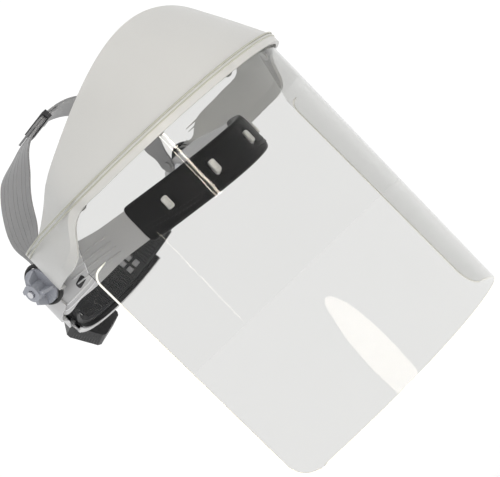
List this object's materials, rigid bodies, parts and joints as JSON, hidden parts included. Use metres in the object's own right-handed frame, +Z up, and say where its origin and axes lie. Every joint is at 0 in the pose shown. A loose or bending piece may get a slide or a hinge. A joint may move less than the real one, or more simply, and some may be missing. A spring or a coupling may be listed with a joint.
{
  "type": "face shield",
  "caption": "Clear wrap-round face shield with a milky brow guard that tilts up on a ratchet headband with sweatband and crown strap.",
  "frame": {"origin": "middle of the wearer's head, level with the side pivots", "axes": "+Z up, the wearer looks along -Y, and the wearer's left is +X"},
  "size_m": [0.2758, 0.3108, 0.3188],
  "materials": {
    "brow_guard": "milky translucent moulding, satin",
    "visor": "clear rolled polycarbonate sheet",
    "visor_studs": "milky moulding",
    "grey_plastic": "moulded grey plastic, satin",
    "sweatband": "black padded vinyl",
    "white_clips": "white moulding",
    "knob_plastic": "light grey moulding",
    "bolt_steel": "plated",
    "spring_steel": "bright spring steel",
    "knob_brass": "turned",
    "black_rubber": "moulded rubber",
    "black_plastic": "moulded black plastic"
  },
  "bodies": {
    "headgear": {"headband": "grey_plastic", "sweatband": "sweatband", "sweatband_clips": "white_clips", "pivot_bolts": "bolt_steel", "friction_washers": "black_rubber", "rear_strap_left": "grey_plastic", "rear_strap_right": "grey_plastic", "strap_rivets": "grey_plastic", "rear_pad": "black_rubber", "housing_plate": "black_plastic", "housing_cover": "grey_plastic", "housing_screws": "bolt_steel", "click_spring": "spring_steel"},
    "shield": {"brow_guard": "brow_guard", "visor": "visor", "visor_studs": "visor_studs", "outer_washers": "black_rubber"},
    "tension_knob_left": {"tension_knob_left": "knob_plastic", "knob_nut_left": "knob_brass"},
    "tension_knob_right": {"tension_knob_right": "knob_plastic", "knob_nut_right": "knob_brass"},
    "ratchet_knob": {"pinion_shaft": "black_plastic", "ratchet_knob": "black_plastic", "knob_screw": "bolt_steel"},
    "rack_strap_left": {"rack_strap_left": "black_plastic"},
    "rack_strap_right": {"rack_strap_right": "black_plastic"},
    "crown_strap": {"crown_strap_left": "grey_plastic", "crown_strap_right": "grey_plastic", "crown_keeper": "grey_plastic", "crown_pins": "grey_plastic"}
  },
  "joints": [
    {"name": "shield_tilt", "type": "hinge", "parent": "headgear", "child": "shield", "pos_m": [0, 0.015, 0], "axis": [-1, 0, 0], "range_deg": [0, 75]},
    {"name": "tension_left", "type": "hinge", "parent": "headgear", "child": "tension_knob_left", "pos_m": [0, 0.015, 0], "axis": [1, 0, 0], "range_deg": [-180, 180]},
    {"name": "tension_right", "type": "hinge", "parent": "headgear", "child": "tension_knob_right", "pos_m": [0, 0.015, 0], "axis": [-1, 0, 0], "range_deg": [-180, 180]},
    {"name": "ratchet_turn", "type": "hinge", "parent": "headgear", "child": "ratchet_knob", "pos_m": [0, 0.032, -0.015], "axis": [0, 0.9781, -0.2079], "range_deg": [-120, 120]},
    {"name": "rack_left_slide", "type": "hinge", "parent": "headgear", "child": "rack_strap_left", "pos_m": [0, 0.032, -0.015], "axis": [0, 0.2079, 0.9781], "range_deg": [-9.3, 9.3]},
    {"name": "rack_right_slide", "type": "hinge", "parent": "headgear", "child": "rack_strap_right", "pos_m": [0, 0.032, -0.015], "axis": [0, 0.2079, 0.9781], "range_deg": [-9.3, 9.3]},
    {"name": "crown_tilt", "type": "hinge", "parent": "headgear", "child": "crown_strap", "pos_m": [0, 0.0225, 0.0085], "axis": [1, 0, 0], "range_deg": [-12, 12]}
  ],
  "couplings": [
    {"joint": "rack_left_slide", "follows": "ratchet_turn", "ratio": -0.076487},
    {"joint": "rack_right_slide", "follows": "ratchet_turn", "ratio": 0.076487}
  ]
}
